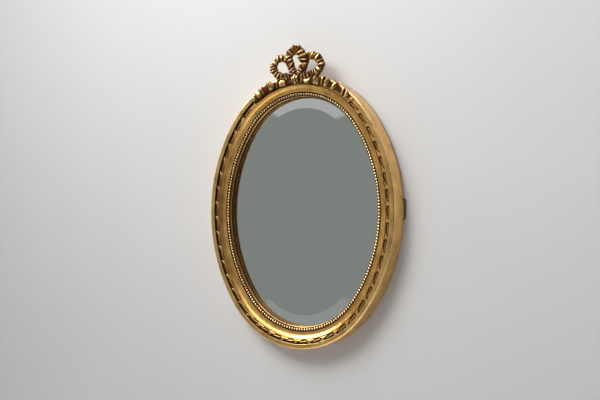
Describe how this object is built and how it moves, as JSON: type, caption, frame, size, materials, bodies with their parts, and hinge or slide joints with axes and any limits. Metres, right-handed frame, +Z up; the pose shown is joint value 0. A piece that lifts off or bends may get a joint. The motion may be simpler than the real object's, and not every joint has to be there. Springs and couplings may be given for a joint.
{
  "type": "oval wall mirror",
  "caption": "Oval wall mirror: bevelled glass in a gilded moulded frame with a pearl border, a ribbon twist, a pleated bow crest and hinged hanging loops.",
  "frame": {"origin": "centre of the oval on the back plane of the frame, where the back board's rear face lies flush", "axes": "+Z up towards the bow, -Y out of the glass to the viewer, +X to the viewer's right"},
  "size_m": [0.4295, 0.0571, 0.5956],
  "materials": {
    "gilded_wood": "aged gold leaf over a red-brown ground",
    "gilded_pearls": "aged gold leaf, rubbed on the high points",
    "gilded_twist": "aged gold leaf, dark in the recesses",
    "gilded_ribbon": "aged gold leaf, dark between the pleats",
    "silvered_glass": "silvered plate glass with a polished bevel",
    "block_wood": "bare softwood",
    "board_wood": "bare wood board",
    "pin_steel": "dull steel",
    "dowel_wood": "bare beech",
    "hanger_brass": "darkened brass",
    "screw_brass": "dull brass"
  },
  "bodies": {
    "mirror": {"frame_rail_top": "gilded_wood", "frame_rail_right": "gilded_wood", "frame_rail_bottom": "gilded_wood", "frame_rail_left": "gilded_wood", "pearl_strip_top": "gilded_pearls", "pearl_strip_right": "gilded_pearls", "pearl_strip_bottom": "gilded_pearls", "pearl_strip_left": "gilded_pearls", "twist_strip_right": "gilded_twist", "twist_strip_bottom": "gilded_twist", "twist_strip_left": "gilded_twist", "twist_strip_top_left": "gilded_twist", "twist_strip_top_right": "gilded_twist", "bow_left_loop": "gilded_ribbon", "bow_right_loop": "gilded_ribbon", "bow_top_loop": "gilded_ribbon", "bow_knot": "gilded_ribbon", "ribbon_tail_left": "gilded_ribbon", "ribbon_tail_right": "gilded_ribbon", "mirror_glass": "silvered_glass", "glass_blocks": "block_wood", "back_board": "board_wood", "board_pins": "pin_steel", "joint_dowels": "dowel_wood", "crest_pegs": "dowel_wood", "hanger_plate_top": "hanger_brass", "hanger_plate_side": "hanger_brass", "hanger_screws": "screw_brass"},
    "top_ring": {"hanger_ring_top": "hanger_brass"},
    "side_ring": {"hanger_ring_side": "hanger_brass"}
  },
  "joints": [
    {"name": "top_ring_swing", "type": "hinge", "parent": "mirror", "child": "top_ring", "pos_m": [0, 0.00276, 0.25751], "axis": [-1, 0, 0], "range_deg": [0, 150]},
    {"name": "side_ring_swing", "type": "hinge", "parent": "mirror", "child": "side_ring", "pos_m": [0.202, 0.00276, 0.006], "axis": [0, 0, 1], "range_deg": [0, 150]}
  ]
}
